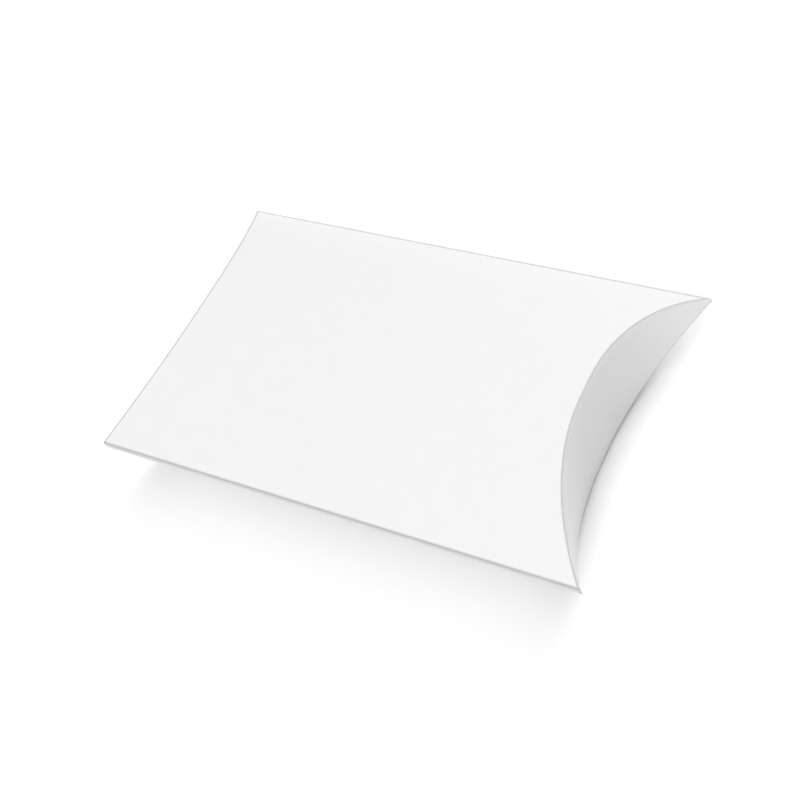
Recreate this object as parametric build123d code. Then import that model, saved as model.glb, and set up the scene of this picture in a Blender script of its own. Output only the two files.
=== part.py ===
from build123d import *
import os
from math import atan2, degrees

# Pillow box: one die-cut blank of white board, folded along two long edges into a sleeve and glued
# inside the front edge. Each end is shut by an inner and an outer flap, folded in on a curved crease.
# A panel is an arch along X. Where a 45 degree plane cuts it lies the crease, and the flap below
# the crease is the same arch stood upright, so panel and flap are both bent from flat board.
# X runs along the box, the glued edge faces -Y, and the box lies on its lower panel at z = 0.

# Driving dimensions in millimetres
corner_length = 146.5  # between the points where the creases would meet a long edge
box_width = 90.0  # between the two long edges
crown_rise = 15.5  # from the plane of the long edges to the middle of a panel
flat_band = 6.0  # middle of each panel that is not bent
edge_radius = 2.0  # outside of the long edges, where the board turns over
board = 0.5  # thickness of the board

# Horns, the four blunt corners of the sleeve
rear_fold_reach = 0.8  # width of the rear folded edge, which runs out into the horns
front_fold_reach = 1.8  # width of the front folded edge, which ends in the tab
horn_setback = 1.2  # from the creases' meeting point to the blunt end of a horn
horn_radius = 0.8  # rounding of a horn, seen from above

# Glued seam
seam_setback = 0.1  # cut edge of the upper panel, short of the nose of the front fold
glue_thickness = 0.1  # film of glue between the tab and the upper panel
glue_width = 6.0
glue_end_margin = 4.0  # from the tab's slanted ends to the glue
tab_width = 10.0
tab_inset = 3.2  # from the creases' meeting point to the start of the tab's fold
tab_end_slant = 8.0  # how much the tab shortens towards its free edge, at each end

# End flaps
crease_gap = 0.3  # slit left at a crease between a panel and its flap
flap_clearance = 0.3  # between the closed outer flap and the inner flap behind it
outer_edge_setback = 0.8  # free edge of the outer flap, short of the lower crease
inner_flap_depth = 17.0  # from the lower crease to the inner flap's free edge, at its middle

overrun = 5.0  # how far cutting shapes run past what they cut

# Worked out from the sizes above
half_length = corner_length / 2
half_width = box_width / 2
half_band = flat_band / 2
arch_reach = half_width - edge_radius - half_band
arch_radius = (arch_reach**2 + crown_rise**2 - edge_radius**2) / (2 * (crown_rise - edge_radius))
arch_angle = degrees(atan2(arch_reach, arch_radius - crown_rise))
rear_line = half_width - rear_fold_reach
front_line = half_width - front_fold_reach
tab_half_length = half_length - tab_inset
tab_depth = board + glue_thickness
seam_line = half_width - tab_depth - seam_setback
inner_flap_inset = board + flap_clearance


def arch(depth):
    """Region under the upper panel's outer line, set in from it by depth. Drawn with Y across."""
    top_z = crown_rise - depth
    side_y = half_width - depth
    foot_z = -crown_rise - overrun
    crown = Line((0, top_z), (half_band, top_z))
    bend_centre = (half_band, crown_rise - arch_radius)
    edge_centre = (half_width - edge_radius, 0)
    bend = CenterArc(bend_centre, arch_radius - depth, 90 - arch_angle, arch_angle)
    edge = CenterArc(edge_centre, edge_radius - depth, 0, 90 - arch_angle)
    side = Polyline((side_y, 0), (side_y, foot_z), (0, foot_z), (0, top_z))
    half = make_face([crown, bend, edge, *side.edges()])
    return half + mirror(half, about=Plane.YZ)


def trough(depth):
    """The same region for the lower panel: all that lies above its outer line."""
    return mirror(arch(depth), about=Plane.XZ)


def strip(low_y, high_y):
    """Band of the cross-section between two places across the box."""
    height = 2 * (crown_rise + overrun)
    return Pos((low_y + high_y) / 2, 0) * Rectangle(high_y - low_y, height)


def along(section):
    """Solid that runs the whole length of the box with this cross-section."""
    return extrude(Plane.YZ * section, amount=half_length + overrun, both=True)


def upright(plan):
    """Solid that runs the whole height of the box with this plan."""
    return extrude(plan, amount=crown_rise + overrun, both=True)


def between_creases():
    """Solid between the 45 degree planes in which the creases lie. It bounds the horns too."""
    top = crown_rise + overrun
    outline = Polyline(
        (half_length, 0),
        (half_length - top, top),
        (top - half_length, top),
        (-half_length, 0),
        (top - half_length, -top),
        (half_length - top, -top),
        close=True,
    )
    return extrude(Plane.XZ * make_face(outline), amount=half_width + overrun, both=True)


def beyond_end(depth):
    """Plan of what lies beyond the right end, up to its hollow face set in by depth.

    The face is the panel's own arch, laid on its side with its foot at the horns."""
    return Pos(half_length, 0) * Rot(0, 0, 90) * arch(-depth)


def blunt_plan():
    """Plan of the whole box with its horns cut blunt and rounded."""
    length = corner_length - 2 * horn_setback
    return fillet(Rectangle(length, box_width).vertices(), horn_radius)


def panel_plan(depth):
    """Plan of a panel, which ends set in by depth from the hollow faces of the box."""
    end = beyond_end(depth)
    return blunt_plan() - end - mirror(end, about=Plane.YZ)


def upper_panel():
    """Arched top of the sleeve. Its front edge is cut and lies on the glue tab."""
    layer = (arch(0) & trough(0)) - arch(board)
    section = layer & strip(-seam_line, rear_line)
    return along(section) & upright(panel_plan(board + crease_gap))


def lower_panel():
    """Arched bottom of the sleeve, on which the box lies."""
    layer = trough(0) - trough(board)
    section = layer & strip(-front_line, rear_line)
    return along(section) & upright(panel_plan(inner_flap_inset + board + crease_gap))


def rear_crease():
    """Folded edge that joins the two panels at the back, from horn to horn."""
    ring = (arch(0) & trough(0)) - (arch(board) & trough(board))
    section = ring & strip(rear_line, half_width)
    return along(section) & upright(blunt_plan()) & between_creases()


def front_crease():
    """Folded edge that turns the lower panel up into the glue tab, with a nose below the seam.

    Past the tab's ends only the lower panel's lip runs on, out to the horns."""
    ring = (arch(tab_depth) & trough(0)) - (arch(tab_depth + board) & trough(board))
    section = ring & strip(-half_width, -front_line)
    fold = extrude(Plane.YZ * section, amount=tab_half_length, both=True)
    lip = (trough(0) - trough(board)) & strip(-seam_line, -front_line)
    return fold + (along(lip) & upright(blunt_plan()) & between_creases())


def tab_plan(root_half, width, start):
    """Tapered plan of the tab, or of the glue on it, from start towards the middle of the box."""
    slant = tab_end_slant * width / tab_width
    root_y = start
    edge_y = start + width
    return make_face(
        Polyline(
            (-root_half, root_y),
            (root_half, root_y),
            (root_half - slant, edge_y),
            (-root_half + slant, edge_y),
            close=True,
        )
    )


def glue_tab():
    """Narrow flap of the lower panel that lies inside the upper panel's front edge."""
    layer = arch(tab_depth) - arch(tab_depth + board)
    section = layer & strip(-front_line, -front_line + tab_width)
    return along(section) & upright(tab_plan(tab_half_length, tab_width, -front_line))


def glue_line():
    """Film of glue between the tab and the upper panel."""
    start = -front_line + (tab_width - glue_width) / 2
    layer = arch(board) - arch(tab_depth)
    section = layer & strip(start, start + glue_width)
    root_half = tab_half_length - tab_end_slant / 2 - glue_end_margin
    return along(section) & upright(tab_plan(root_half, glue_width, start))


def outer_flap():
    """Right outer flap: a lens that hangs from the upper crease and covers the whole end."""
    wall = beyond_end(board) - beyond_end(0)
    lens = arch(0) & trough(outer_edge_setback) & strip(-seam_line, rear_line - crease_gap)
    return upright(wall) & along(lens)


def inner_flap():
    """Right inner flap: stands on the lower crease behind the outer flap, with a shallower lens."""
    wall = beyond_end(inner_flap_inset + board) - beyond_end(inner_flap_inset)
    edge_rise = inner_flap_depth - crown_rise
    foot = -crown_rise - overrun
    edge = ThreePointArc((half_width, 0), (0, edge_rise), (-half_width, 0))
    sides = Polyline((-half_width, 0), (-half_width, foot), (half_width, foot), (half_width, 0))
    below_edge = make_face([edge, *sides.edges()])
    lens = trough(0) & below_edge & strip(crease_gap - front_line, rear_line - crease_gap)
    return upright(wall) & along(lens)


def left(flap):
    """The same flap at the left end."""
    return mirror(flap, about=Plane.YZ)


pieces = {
    "upper_panel": upper_panel(),
    "lower_panel": lower_panel(),
    "rear_crease": rear_crease(),
    "front_crease": front_crease(),
    "glue_tab": glue_tab(),
    "glue_line": glue_line(),
    "right_outer_flap": outer_flap(),
    "right_inner_flap": inner_flap(),
    "left_outer_flap": left(outer_flap()),
    "left_inner_flap": left(inner_flap()),
}

os.makedirs("parts", exist_ok=True)
for name, piece in pieces.items():
    standing = Pos(0, 0, crown_rise) * piece
    standing.label = name
    export_step(standing, f"parts/{name}.step")
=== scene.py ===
from math import acos, asin, cos, pi, radians, sin

import bpy
from mathutils import Matrix, Vector


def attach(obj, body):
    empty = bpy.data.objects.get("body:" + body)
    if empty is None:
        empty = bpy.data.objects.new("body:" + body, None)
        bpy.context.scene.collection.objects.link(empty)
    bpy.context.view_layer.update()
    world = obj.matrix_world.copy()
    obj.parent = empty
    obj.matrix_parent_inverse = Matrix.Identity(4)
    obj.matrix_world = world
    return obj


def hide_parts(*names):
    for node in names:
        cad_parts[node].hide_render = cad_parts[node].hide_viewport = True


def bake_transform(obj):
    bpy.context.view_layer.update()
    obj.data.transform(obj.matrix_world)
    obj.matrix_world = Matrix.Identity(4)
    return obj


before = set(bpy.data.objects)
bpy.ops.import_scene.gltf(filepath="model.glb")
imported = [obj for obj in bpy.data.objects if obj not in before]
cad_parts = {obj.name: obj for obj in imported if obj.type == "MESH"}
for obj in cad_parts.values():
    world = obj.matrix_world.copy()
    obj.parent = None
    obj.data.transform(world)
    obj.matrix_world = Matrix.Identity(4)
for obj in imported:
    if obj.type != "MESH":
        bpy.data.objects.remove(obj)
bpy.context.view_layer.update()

# Upper panel
# The arched top of the sleeve: white solid board, half a millimetre thick, bent to a shallow arch
# with a narrow flat crown. Its front edge is cut and lies free on the glue tab.

corner_reach = 0.07325  # from the middle of the box to where the creases would meet a long edge
half_width = 0.045  # from the middle of the box to a long edge
crown_rise = 0.0155  # from the plane of the long edges to the middle of a panel
half_band = 0.003  # half of the flat crown
edge_radius = 0.002  # outside of the long edges, where the board turns over
board = 0.0005  # thickness of the board
glue_film = 0.0001  # between the tab and the upper panel
horn_setback = 0.0012  # from the creases' meeting point to the blunt end of a horn
horn_radius = 0.0008  # rounding of a horn, seen from above
crease_strip = 0.0008  # width of the panel's board, before the crease, that is made with the flap
rear_fold_reach = 0.0008
seam_setback = 0.0001  # cut edge at the front, short of the nose of the front fold
seam_skew = 0.00068  # the cut stands upright, so the inner face runs this much further round

arch_reach = half_width - edge_radius - half_band
arch_radius = (arch_reach**2 + crown_rise**2 - edge_radius**2) / (2 * (crown_rise - edge_radius))
blunt_reach = corner_reach - horn_setback
rear_side = half_width - rear_fold_reach  # here the panels' board gives way to the rear fold
front_limit = half_width - board - glue_film  # nose of the front fold, which nothing passes
seam_side = front_limit - seam_setback


class Wire:
    """One socket of a node tree. Sums written on it add Math nodes."""

    def __init__(self, tree, socket):
        self.tree = tree
        self.socket = socket

    def math(self, operation, *others):
        values = dict(enumerate((self, *others)))
        return add(self.tree, "ShaderNodeMath", {"operation": operation}, values)

    def __add__(self, other):
        return self.math("ADD", other)

    def __sub__(self, other):
        return self.math("SUBTRACT", other)

    def __mul__(self, other):
        return self.math("MULTIPLY", other)

    def __truediv__(self, other):
        return self.math("DIVIDE", other)

    def __pow__(self, other):
        return self.math("POWER", other)

    def __neg__(self):
        return self * -1

    def __abs__(self):
        return self.math("ABSOLUTE")

    def __rsub__(self, other):
        return -self + other

    def __rtruediv__(self, other):
        return self**-1 * other

    __radd__ = __add__
    __rmul__ = __mul__

    def at_least(self, other):
        return self.math("MAXIMUM", other)

    def at_most(self, other):
        return self.math("MINIMUM", other)

    def part(self, name):
        """Another output of the same node."""
        return Wire(self.tree, self.socket.node.outputs[name])


def feed(node, inputs):
    """Wires each input to the socket given for it, or sets it to the value."""
    for name, value in inputs.items():
        if isinstance(value, Wire):
            node.id_data.links.new(value.socket, node.inputs[name])
        else:
            node.inputs[name].default_value = value


def add(tree, kind, settings, inputs):
    """Adds a node to a tree, sets it up, feeds its inputs and returns its first output in use."""
    node = tree.nodes.new(kind)
    for name, value in settings.items():
        setattr(node, name, value)
    feed(node, inputs)
    outputs = [o for o in node.outputs if o.enabled]
    return Wire(tree, outputs[0]) if outputs else None


def sheet_tree(name, labels, along, across):
    """Starts a Geometry Nodes tree that shapes a slab of board, with so many points along and
    across it. Returns the tree, a dict of its named inputs, the slab, and a point's place along,
    across and through the board from 0 to 1."""
    tree = bpy.data.node_groups.new(name, "GeometryNodeTree")
    for label in labels:
        tree.interface.new_socket(label, in_out="INPUT", socket_type="NodeSocketFloat")
    tree.interface.new_socket("Board", in_out="INPUT", socket_type="NodeSocketMaterial")
    tree.interface.new_socket("Sheet", in_out="OUTPUT", socket_type="NodeSocketGeometry")
    start = add(tree, "NodeGroupInput", {}, {})
    given = {s.name: Wire(tree, s) for s in start.socket.node.outputs if s.name}
    cuboid = {"Size": (1, 1, 1), "Vertices X": along, "Vertices Y": across, "Vertices Z": 2}
    slab = add(tree, "GeometryNodeMeshCube", {}, cuboid)
    place = add(tree, "GeometryNodeInputPosition", {}, {})
    split = add(tree, "ShaderNodeSeparateXYZ", {}, {0: place})
    u = split + 0.5
    v = split.part("Y") + 0.5
    w = 0.5 - split.part("Z")
    return tree, given, slab, u, v, w


def finish_tree(tree, given, slab, place, marks):
    """Stores what the board's material reads, moves the slab's points and sets the material."""
    for label, value in marks.items():
        kind = "FLOAT_VECTOR" if label == "blank" else "FLOAT"
        slab = add(
            tree,
            "GeometryNodeStoreNamedAttribute",
            {"data_type": kind, "domain": "POINT"},
            {"Geometry": slab, "Name": label, "Value": value},
        )
    bent = add(tree, "GeometryNodeSetPosition", {}, {"Geometry": slab, "Position": place})
    whole = add(tree, "GeometryNodeRealizeInstances", {}, {"Geometry": bent})
    dressed = add(tree, "GeometryNodeSetMaterial", {}, {"Geometry": whole, "Material": given["Board"]})
    add(tree, "NodeGroupOutput", {}, {"Sheet": dressed})


def mix(start, end, share):
    return start + (end - start) * share


def vector(tree, x, y, z):
    return add(tree, "ShaderNodeCombineXYZ", {}, {"X": x, "Y": y, "Z": z})


section_labels = (
    "From", "To", "Side", "Rise", "Half band", "Arch radius", "First angle", "Fold radius",
    "Second angle", "Second radius", "Corner reach", "Thickness",
)


def section(given, way):
    """Follows the sleeve's section for some way from the middle of a panel, over its arch, round
    the folded edge and on to the next layer. Returns how far the board has turned, and the place."""
    run = abs(way)
    radius = given["Arch radius"]
    fold = given["Fold radius"]
    second = given["Second radius"]
    first_angle = given["First angle"]
    last_angle = pi - given["Second angle"]
    past_band = (run - given["Half band"]).at_least(0)
    arch = (past_band / radius).at_most(first_angle)
    past_arch = (past_band - radius * first_angle).at_least(0)
    nose = (past_arch / fold).at_most(last_angle - first_angle)
    past_nose = (past_arch - fold * (last_angle - first_angle)).at_least(0)
    back = past_nose / second
    turn = arch + nose + back
    nose_turn = first_angle + nose
    back_turn = last_angle + back
    out = (
        run.at_most(given["Half band"])
        + radius * arch.math("SINE")
        + fold * (nose_turn.math("SINE") - first_angle.math("SINE"))
        + second * (back_turn.math("SINE") - last_angle.math("SINE"))
    )
    height = (
        given["Rise"]
        + radius * (arch.math("COSINE") - 1)
        + fold * (nose_turn.math("COSINE") - first_angle.math("COSINE"))
        + second * (back_turn.math("COSINE") - last_angle.math("COSINE"))
    )
    return turn, out, height


tip_power = 64  # keeps the pinch of a closed tip within the last row of points
tip_lap = 0.75  # share of its depth by which the inner face ends short of the outer one at a tip
panel_shade_spread = 2  # the painted shade of a long fold is so many times as wide on its panel as a flap's score
fold_shade_spread = 4  # and so many times as wide on its rounding


def folded_sheet_tree():
    """A strip of the sleeve. It lies along the box, and across it runs the way round the section."""
    labels = section_labels + (
        "Inset", "Inset side", "Inset ease", "Start reach", "End reach", "Horn radius",
        "Closed tips", "Uncut", "Skew",
    )
    tree, given, slab, u, v, w = sheet_tree("Folded sheet", labels, along=25, across=161)
    way = mix(given["From"] - w * given["Skew"], given["To"], v)
    turn, out, height = section(given, way)
    eased = ((out - given["Inset side"]) / given["Inset ease"]).at_least(0).at_most(1)
    crease_reach = given["Corner reach"] - abs(height) - given["Inset"] * (1 - eased)
    cut_reach = mix(given["Start reach"], given["End reach"], v)
    reach = crease_reach.math("SMOOTH_MIN", cut_reach, given["Horn radius"])
    tip = abs(2 * u - 1) ** tip_power * given["Closed tips"]
    deep = w * mix(given["Thickness"], given["Fold radius"], tip)
    x = mix(-1, 1, u) * (reach - deep * tip * tip_lap)
    y = way.math("SIGN") * (out - deep * turn.math("SINE"))
    z = given["Side"] * (height - deep * turn.math("COSINE")) + given["Rise"]
    fold_start = given["Half band"] + given["Arch radius"] * given["First angle"]
    fold_half = given["Fold radius"] * (pi - given["First angle"] - given["Second angle"]) / 2
    past_fold = abs(abs(way) - fold_start - fold_half) - fold_half
    # How far a point is from the nearest score of the fold, which sets its painted shade.
    score = (past_fold / panel_shade_spread).at_least(-past_fold / fold_shade_spread)
    unscored = (-way).at_least(0) * (1 - given["Uncut"])  # the cut front edge has no score, and so no painted shade of one
    # The crease and rim marks set the painted shade along scores, folds and the cut front edge.
    marks = {
        "through": w * (1 - tip),
        "crease": score + unscored,
        "rim": abs(way - given["From"]) + given["Uncut"],
        "blank": vector(tree, x, way, given["Side"]),
    }
    finish_tree(tree, given, slab, vector(tree, x, y, z), marks)
    return tree


folded_sheet = folded_sheet_tree()
sharp_angle = radians(40)


def cut_piece(name, tree, sizes, material):
    """Makes a plain mesh object from one of the trees, with the given sizes and material."""
    mesh = bpy.data.meshes.new(name)
    maker = bpy.data.objects.new(name + "_maker", mesh)
    bpy.context.collection.objects.link(maker)
    modifier = maker.modifiers.new("Shape", "NODES")
    modifier.node_group = tree
    for item in tree.interface.items_tree:
        if item.in_out == "INPUT":
            modifier[item.identifier] = material if item.name == "Board" else sizes[item.name]
    bpy.context.view_layer.update()
    shaped = maker.evaluated_get(bpy.context.evaluated_depsgraph_get())
    piece_mesh = bpy.data.meshes.new_from_object(shaped)
    bpy.data.objects.remove(maker)
    piece_mesh.name = name
    piece_mesh.shade_smooth()
    piece_mesh.set_sharp_from_angle(angle=sharp_angle)
    piece = bpy.data.objects.new(name, piece_mesh)
    bpy.context.collection.objects.link(piece)
    return piece


def eased_step(value, start, end):
    """Rises softly from 0 to 1 as the value goes from start to end."""
    ends = {"Value": value, "From Min": start, "From Max": end}
    return add(value.tree, "ShaderNodeMapRange", {"interpolation_type": "SMOOTHSTEP"}, ends)


def mix_colours(tree, how, share, first, second):
    """Mixes two colours. They go into sockets 6 and 7 of a Mix node and come out of the third."""
    settings = {"data_type": "RGBA", "blend_type": how}
    return add(tree, "ShaderNodeMix", settings, {"Factor": share, 6: first, 7: second}).part(2)


face_white = (0.885, 0.886, 0.885, 1)
back_white = (0.84, 0.835, 0.82, 1)
# The cut edges' grey is partly the fibre's own and partly painted shade.
edge_grey_and_shade = (0.50, 0.49, 0.48, 1)
face_mottle = 0.03
back_mottle = 0.13
face_roughness = 0.5
back_roughness = 0.7
face_relief = 0.25
back_relief = 0.75
grit_relief = 0.2
# Painted shade along the scores and folds: how dark it is, and how far it reaches.
score_shade_darkness = 0.32
score_shade_reach = 0.0003  # the painted shade of a flap's score is full up to here, to each side of its middle
score_shade_fade = 0.0006  # and gone from here on
# Painted shade along the free cut edges: how dark it is, and how far it reaches.
rim_shade_darkness = 0.25
rim_shade_reach = 0.0001  # the painted shade along a free cut edge is full up to here from it
rim_shade_fade = 0.0005


def board_material():
    """Solid bleached board: a smooth face, a rougher back and fibrous cut edges, whose grey is partly
    painted shade. Painted shade also darkens it along its scores and folds and along its free cut
    edges."""
    material = bpy.data.materials.new("white_board")
    material.use_nodes = True
    tree = material.node_tree
    blank = add(tree, "ShaderNodeAttribute", {"attribute_name": "blank"}, {}).part("Vector")
    through = add(tree, "ShaderNodeAttribute", {"attribute_name": "through"}, {}).part("Fac")
    crease = add(tree, "ShaderNodeAttribute", {"attribute_name": "crease"}, {}).part("Fac")
    rim = add(tree, "ShaderNodeAttribute", {"attribute_name": "rim"}, {}).part("Fac")
    fibres = add(tree, "ShaderNodeMapping", {}, {"Vector": blank, "Scale": (500, 2600, 500)})
    fibre = add(tree, "ShaderNodeTexNoise", {}, {"Vector": fibres, "Scale": 1.0, "Detail": 4.0})
    cloud = add(tree, "ShaderNodeTexNoise", {}, {"Vector": blank, "Scale": 170.0, "Detail": 3.0})
    grit = add(tree, "ShaderNodeTexNoise", {}, {"Vector": blank, "Scale": 6000.0, "Detail": 2.0})
    # The way through is 0 on the face and 1 on the back, so only a cut edge is far from both.
    on_back = eased_step(through, 0.9, 1.0)
    on_edge = eased_step(through * (1 - through), 0.0, 0.06)
    # Painted shade along the scores and folds.
    painted_score_shade = 1 - eased_step(crease, score_shade_reach, score_shade_fade)
    # Painted shade along the free cut edges.
    painted_rim_shade = 1 - eased_step(rim, rim_shade_reach, rim_shade_fade)
    sides = mix_colours(tree, "MIX", on_back, face_white, back_white)
    core = mix_colours(tree, "MIX", on_edge, sides, edge_grey_and_shade)
    fibre_mottle = (fibre - 0.5) * mix(face_mottle, back_mottle, on_back)
    mottle = (cloud - 0.5) * face_mottle + fibre_mottle
    # Random mottle, times the painted shade along scores, folds and free cut edges.
    shade = (1 - mottle) * (1 - score_shade_darkness * painted_score_shade) * (1 - rim_shade_darkness * painted_rim_shade)
    relief = (fibre - 0.5) * mix(face_relief, back_relief, on_back) + (grit - 0.5) * grit_relief
    bump = {"Height": relief, "Strength": 0.25, "Distance": 0.00002}
    finish = {
        "Base Color": mix_colours(tree, "MULTIPLY", 1.0, core, vector(tree, shade, shade, shade)),
        "Roughness": mix(face_roughness, back_roughness, on_back) + 0.1 * (fibre - 0.5),
        "Normal": add(tree, "ShaderNodeBump", {}, bump),
    }
    feed(tree.nodes["Principled BSDF"], finish)
    return material


white_board = board_material()


def tangents(fold_radius, second_radius):
    """Where a folded edge's rounding meets the two arches that it joins. Returns the two angles."""
    centre = arch_radius - crown_rise
    near = arch_radius - fold_radius
    far = second_radius - fold_radius
    offset = (near**2 - far**2) / (4 * centre)
    return acos((centre + offset) / near), acos((centre - offset) / far)


edge_angle, _ = tangents(edge_radius, arch_radius)


def way_to(side_y):
    """Way from the middle of a panel to a place that far out across the box."""
    past_arch = side_y - half_width + edge_radius
    if past_arch > edge_radius * sin(edge_angle):
        past_angle = asin(past_arch / edge_radius) - edge_angle
        return half_band + arch_radius * edge_angle + edge_radius * past_angle
    return half_band + arch_radius * asin((side_y - half_band) / arch_radius)


def sleeve_piece(name, node, sizes):
    """Cuts a strip of the sleeve's board to size and puts it in its node's place."""
    piece = cut_piece(name, folded_sheet, sizes, white_board)
    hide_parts(node)
    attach(piece, "sleeve")


sleeve_sizes = {
    "Side": 1.0,
    "Rise": crown_rise,
    "Half band": half_band,
    "Arch radius": arch_radius,
    "First angle": edge_angle,
    "Fold radius": edge_radius,
    "Second angle": edge_angle,
    "Second radius": arch_radius,
    "Corner reach": corner_reach,
    "Inset": crease_strip,
    "Inset side": half_width,
    "Inset ease": 0.0006,  # the inset runs out over this way, past its side
    "Start reach": blunt_reach,
    "End reach": blunt_reach,
    "Horn radius": horn_radius,
    "Thickness": board,
    "Closed tips": 0.0,
    "Uncut": 1.0,
    "Skew": 0.0,
}
upper_sizes = sleeve_sizes | {
    "From": -way_to(seam_side),
    "To": way_to(rear_side),
    "Uncut": 0.0,
    "Skew": seam_skew,
}
sleeve_piece("upper_panel_board", "upper_panel", upper_sizes)

# Rear fold
# The long edge at the back, where the same board is scored and folded from the upper panel round
# to the lower one. It runs out to the blunt tips of the two rear horns.

crease_rear_setback = 0.0004  # the outer flap's crease ends this far in from the fold's nose
crease_rear_side = half_width - crease_rear_setback
panel_way = half_band + arch_radius * edge_angle  # from the middle of a panel to the rounding
whole_way = 2 * panel_way + edge_radius * (pi - 2 * edge_angle)  # and on to the other middle
rear_sizes = sleeve_sizes | {
    "From": way_to(rear_side),
    "To": whole_way - way_to(rear_side),
    "Inset side": crease_rear_side,
    "Closed tips": 1.0,
}
sleeve_piece("rear_fold_board", "rear_crease", rear_sizes)

# Lower panel
# The arched bottom of the sleeve, on whose flat crown the box lies. It is the same board as the
# upper panel, and the inner flaps grow from its ends a little behind the outer ones.

inner_setback = 0.0009  # from the outer flap's crease to the inner one's
front_fold_reach = 0.0018
front_side = half_width - front_fold_reach  # here the lower panel gives way to the front fold
lower_sizes = sleeve_sizes | {
    "Side": -1.0,
    "From": way_to(rear_side),
    "To": -way_to(front_side),
    "Corner reach": corner_reach - inner_setback,
}
sleeve_piece("lower_panel_board", "lower_panel", lower_sizes)

# Front fold and glue tab
# At the front the lower panel's board is folded up and in. The fold shows as a thin rounded lip
# below the upper panel's cut edge, and the tab behind it carries the glue.

front_fold_radius = 0.0021
lip_slant = 0.0012  # how much the lip shortens at each end on its way up to the tab
tab_inset = 0.0032  # from the creases' meeting point to the start of the tab
tab_width = 0.010
tab_end_slant = 0.008  # how much the tab shortens at each end, towards its free edge
tab_radius = arch_radius - board - glue_film
lower_angle, tab_angle = tangents(front_fold_radius, tab_radius)
front_way = half_band + arch_radius * lower_angle + front_fold_radius * (pi - lower_angle - tab_angle)


def way_to_tab(side_y):
    """Way round the front fold to a place on the tab, that far out across the box."""
    return front_way + tab_radius * (tab_angle - asin((side_y - half_band) / tab_radius))


front_sizes = sleeve_sizes | {
    "Side": -1.0,
    "First angle": lower_angle,
    "Fold radius": front_fold_radius,
    "Second angle": tab_angle,
    "Second radius": tab_radius,
    "Inset": 0.0,
    "From": -way_to(front_side),
    "To": -way_to_tab(front_side),
    "End reach": blunt_reach - lip_slant,
    "Closed tips": 1.0,
}
sleeve_piece("front_fold_board", "front_crease", front_sizes)

tab_reach = corner_reach - tab_inset
tab_sizes = front_sizes | {
    "From": -way_to_tab(front_side),
    "To": -way_to_tab(front_side - tab_width),
    "Start reach": tab_reach,
    "End reach": tab_reach - tab_end_slant,
    "Closed tips": 0.0,
}
sleeve_piece("glue_tab_board", "glue_tab", tab_sizes)

# End flaps
# Two lens-shaped flaps at each end, one with each panel, bent from the same board on a curved
# crease. The inner one is folded in first and the outer one over it, and both bow inwards.

crease_share = 0.3  # share of a flap's rows of points that go into its strip and its crease


def flap_tree():
    """A flap with its crease. Across it runs the way from the panel over the crease to the free
    edge, and along it the way over the panel's arch, which the flap repeats standing up."""
    labels = section_labels + (
        "End", "Strip", "Crease radius", "Score shade run", "Edge radius", "Edge band", "Edge rise",
        "Front limit",
    )
    tree, given, slab, u, v, w = sheet_tree("Curved flap", labels, along=129, across=49)
    way = mix(given["From"], given["To"], u)
    turn, out, height = section(given, way)
    slope = -turn.math("TANGENT")
    sweep = given["Edge radius"]
    edge_out = (out - given["Edge band"]).at_least(0)
    edge = given["Edge rise"] - sweep + (sweep**2 - edge_out**2) ** 0.5
    depth = height + edge
    bend_radius = given["Crease radius"]
    near = (v / crease_share).at_most(1)
    far = ((v - crease_share) / (1 - crease_share)).at_least(0)
    run = mix(-given["Strip"], bend_radius, near) + (depth - bend_radius) * far
    bend = ((run + bend_radius) / (2 * bend_radius)).at_least(0).at_most(1) * (pi / 2)
    lean = bend.math("SINE")
    stand = bend.math("COSINE")
    ahead = run.at_most(-bend_radius) + bend_radius * lean
    below = bend_radius * (stand - 1) - (run - bend_radius).at_least(0)
    twist = slope * (lean - stand)
    length = (1 + twist**2) ** 0.5
    deep = w * given["Thickness"] / length
    x = given["Corner reach"] - height + ahead - deep * lean
    y = (way.math("SIGN") * (out - deep * twist)).at_least(-given["Front limit"])
    z = height + below - deep * stand
    place = vector(tree, given["End"] * x, y, given["Side"] * z + given["Rise"])
    flat_x = given["Corner reach"] - height + run
    # The crease and rim marks set the painted shade along the score and the free cut edge.
    marks = {
        "through": w,
        "crease": abs(run - given["Score shade run"]),
        "rim": depth - run,
        "blank": vector(tree, flat_x, way, given["Side"] * given["End"]),
    }
    finish_tree(tree, given, slab, place, marks)
    return tree


curved_flap = flap_tree()

outer_edge_setback = 0.0008  # free edge of the outer flap, short of the lower crease
outer_sizes = sleeve_sizes | {
    "From": -way_to(seam_side),
    "To": way_to(crease_rear_side),
    "Strip": crease_strip,
    "Crease radius": 0.0006,
    "Score shade run": -0.0005,  # the score's painted shade lies on the panel's side of the bend
    "Edge radius": arch_radius - outer_edge_setback,
    "Edge band": half_band,
    "Edge rise": crown_rise - outer_edge_setback,
    "Front limit": front_limit,
}
inner_edge_rise = 0.0015  # middle of the inner flap's free edge, above the long edges
inner_sizes = outer_sizes | {
    "Corner reach": corner_reach - inner_setback,
    "Side": -1.0,
    "From": -way_to(front_side),
    "To": way_to(rear_side),
    "Edge radius": (half_width**2 + inner_edge_rise**2) / (2 * inner_edge_rise),
    "Edge band": 0.0,
    "Edge rise": inner_edge_rise,
}

for end_name, end in (("right", 1.0), ("left", -1.0)):
    for layer, side, sizes in (("outer", 1.0, outer_sizes), ("inner", -1.0, inner_sizes)):
        turned = sizes | {"End": end}
        flap = cut_piece(f"{end_name}_{layer}_flap_board", curved_flap, turned, white_board)
        if end * side > 0:  # mirrored twice or not at all, its faces would point inwards
            flap.data.flip_normals()
        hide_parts(f"{end_name}_{layer}_flap")
        inward = Vector((-end, 0, -side)).normalized()
        corner = Vector((end * sizes["Corner reach"], 0, crown_rise))
        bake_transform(flap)

# Glue
# A thin film of dried white glue between the tab and the upper panel. It shows only as a line at
# its ends, when a flap is open.

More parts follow.
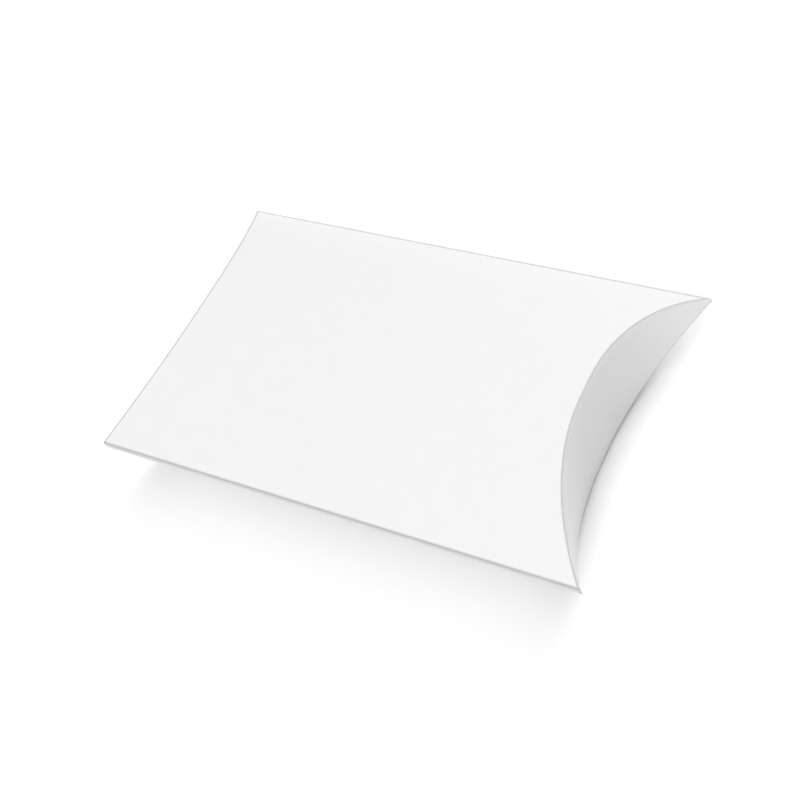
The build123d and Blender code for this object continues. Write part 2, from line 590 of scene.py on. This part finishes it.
glue_yellow = (0.80, 0.79, 0.744, 1)
glue_white = (0.88, 0.87, 0.818, 1)
smooth_drop = 0.25
rough_drop = 0.45


def glue_material():
    """Dried glue: off-white, and uneven in tint and gloss from drop to drop."""
    material = bpy.data.materials.new("dried_glue")
    material.use_nodes = True
    tree = material.node_tree
    place = add(tree, "ShaderNodeTexCoord", {}, {}).part("Object")
    drops = add(tree, "ShaderNodeTexNoise", {}, {"Vector": place, "Scale": 900.0, "Detail": 3.0})
    finish = {
        "Base Color": mix_colours(tree, "MIX", drops, glue_yellow, glue_white),
        "Roughness": mix(smooth_drop, rough_drop, drops),
    }
    feed(tree.nodes["Principled BSDF"], finish)
    return material


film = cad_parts["glue_line"]
film.data.materials.clear()
film.data.materials.append(glue_material())

# Floor, light and camera
# A white table top in a light tent: soft light from above, front and back, and less from the two
# sides, so that the end flap stands out grey against the bright panel.

table_reach = 3.0
table_finish = {
    "Base Color": (1, 1, 1, 1),
    "Roughness": 0.9,
    "Specular IOR Level": 0,
    # The table top glows faintly: painted light that lifts the box's shadow on it.
    "Emission Color": (1, 1, 1, 1),
    "Emission Strength": 0.05,
}
table_corners = [
    (-table_reach, -table_reach, 0),
    (table_reach, -table_reach, 0),
    (table_reach, table_reach, 0),
    (-table_reach, table_reach, 0),
]
table_mesh = bpy.data.meshes.new("table_top")
table_mesh.from_pydata(table_corners, [], [(0, 1, 2, 3)])
table_top = bpy.data.objects.new("table_top", table_mesh)
bpy.context.collection.objects.link(table_top)
table_white = bpy.data.materials.new("table_top")
table_white.use_nodes = True
feed(table_white.node_tree.nodes["Principled BSDF"], table_finish)
table_mesh.materials.append(table_white)

tent_strength = 4.06  # straight above the box, and all round its middle
side_falloff = 4.1  # how fast the cloth gets darker towards the two ends of the box
side_strength = 0.045  # what is left there
tent = bpy.data.worlds.new("light_tent")
tent.use_nodes = True
tent_tree = tent.node_tree
tent_tree.nodes.clear()
facing = add(tent_tree, "ShaderNodeTexCoord", {}, {}).part("Generated")
sideways = abs(add(tent_tree, "ShaderNodeSeparateXYZ", {}, {0: facing}))
glow = tent_strength * (1 - sideways) ** side_falloff + side_strength
cloth = add(tent_tree, "ShaderNodeBackground", {}, {"Color": (1, 1, 1, 1), "Strength": glow})
add(tent_tree, "ShaderNodeOutputWorld", {}, {"Surface": cloth})
bpy.context.scene.world = tent
bpy.context.scene.view_settings.view_transform = "Standard"

azimuth = 0.79942  # radians, from straight in front of the box towards its right end
elevation = 0.88549  # radians above the table
roll = -0.42084  # radians, about the line of sight
distance = 0.36307  # metres from the middle of the box
shift_right = 0.000945  # metres that the camera is moved across its line of sight
shift_up = -0.006436
picture_width = 800  # pixels
focal_pixels = 1351.48
sensor_width = 36  # millimetres
back = Vector((sin(azimuth) * cos(elevation), -cos(azimuth) * cos(elevation), sin(elevation)))
level = Vector((cos(azimuth), sin(azimuth), 0))
upward = back.cross(level)
across = level * cos(roll) + upward * sin(roll)
above = upward * cos(roll) - level * sin(roll)
centre = Vector((0, 0, crown_rise))
lens = bpy.data.cameras.new("camera")
lens.lens = focal_pixels / picture_width * sensor_width
lens.sensor_width = sensor_width
lens.clip_start = 0.01
camera = bpy.data.objects.new("camera", lens)
bpy.context.collection.objects.link(camera)
camera.matrix_world = Matrix.LocRotScale(
    centre + back * distance + across * shift_right + above * shift_up,
    Matrix((across, above, back)).transposed(),
    None,
)
bpy.context.scene.camera = camera
